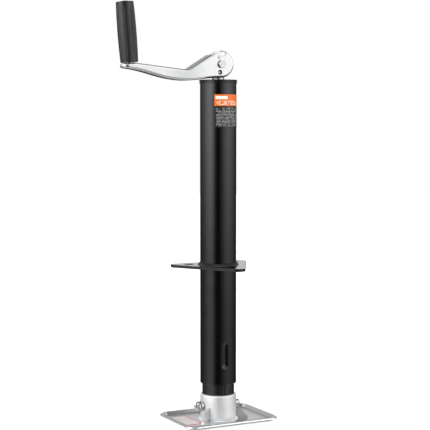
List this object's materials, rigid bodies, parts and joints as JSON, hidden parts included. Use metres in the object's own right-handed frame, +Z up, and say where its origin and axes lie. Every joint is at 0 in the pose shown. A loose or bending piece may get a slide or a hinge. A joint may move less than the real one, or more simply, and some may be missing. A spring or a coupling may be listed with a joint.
{
  "type": "tongue jack stand",
  "caption": "Top-wind A-frame trailer jack: round black tube with triangular bolt flange, folding crank with grip, screw-driven ram tube and pinned rectangular foot plate.",
  "frame": {"origin": "on the lead screw's axis, at the ground under the foot", "axes": "+Z up along the tube, -Y towards the tube's pressed dimple, the crank points to -X at rest; the flange and the foot are turned 5 degrees about +Z"},
  "size_m": [0.251, 0.1405, 0.6562],
  "materials": {
    "black_paint": "semi-gloss black powder coat",
    "ram_paint": "satin black paint",
    "machined_steel": "turned",
    "screw_steel": "oiled, turned",
    "bearing_steel": "ground and polished",
    "bronze": "satin",
    "zinc_crank": "bright zinc plate",
    "zinc_foot": "bright zinc plate",
    "zinc_small": "bright zinc plate",
    "grip_plastic": "fine-textured black plastic",
    "tube_label": "printed film, orange over black",
    "foot_label": "printed film, white with a red edge"
  },
  "bodies": {
    "housing": {"outer_tube": "black_paint", "mounting_flange": "black_paint", "flange_weld": "black_paint", "top_cap": "black_paint", "bearing_seat": "machined_steel", "screw_bush": "bronze", "upper_thrust_race": "bearing_steel", "tube_label": "tube_label"},
    "screw": {"lead_screw": "screw_steel", "thrust_balls": "bearing_steel", "ball_cage": "bronze", "lower_thrust_race": "bearing_steel", "thrust_collar": "machined_steel", "collar_roll_pin": "machined_steel", "detent_balls": "bearing_steel", "detent_spring": "bearing_steel"},
    "crank": {"crank_arm": "zinc_crank", "pivot_bolt": "zinc_small", "pivot_nut": "zinc_small", "pivot_washers": "zinc_small", "grip_spindle": "zinc_small", "spindle_washer": "zinc_small", "spindle_clip": "zinc_small"},
    "grip": {"hand_grip": "grip_plastic", "grip_plug": "grip_plastic"},
    "ram": {"inner_tube": "ram_paint", "drive_nut": "bronze", "foot_tray": "zinc_foot", "foot_collar": "zinc_foot", "foot_gussets": "zinc_foot", "foot_welds": "zinc_foot", "foot_label": "foot_label"},
    "pin": {"foot_pin": "zinc_small", "pin_detent_ball": "bearing_steel"},
    "ring": {"pull_ring": "zinc_small"}
  },
  "joints": [
    {"name": "crank_spin", "type": "hinge", "parent": "housing", "child": "screw", "pos_m": [0, 0, 0.5], "axis": [0, 0, -1], "range_deg": [-1062, 24093.5]},
    {"name": "ram_slide", "type": "slide", "parent": "housing", "child": "ram", "axis": [0, 0, -1], "range_m": [-0.015, 0.34]},
    {"name": "crank_fold", "type": "hinge", "parent": "screw", "child": "crank", "pos_m": [0, 0, 0.5627], "axis": [0, 1, 0], "range_deg": [0, 192]},
    {"name": "grip_spin", "type": "hinge", "parent": "crank", "child": "grip", "pos_m": [-0.1467, 0, 0.56212], "axis": [-0.0785, 0, 0.9969], "continuous": true},
    {"name": "foot_pin_pull", "type": "slide", "parent": "ram", "child": "pin", "axis": [-0.9962, -0.0872, 0], "range_m": [0, 0.07]},
    {"name": "ring_swing", "type": "hinge", "parent": "pin", "child": "ring", "pos_m": [-0.03915, -0.00343, 0.024], "axis": [0, 0, 1], "range_deg": [-190, 10]}
  ],
  "couplings": [
    {"joint": "ram_slide", "follows": "crank_spin", "m_per_rad": 0.00080851}
  ]
}
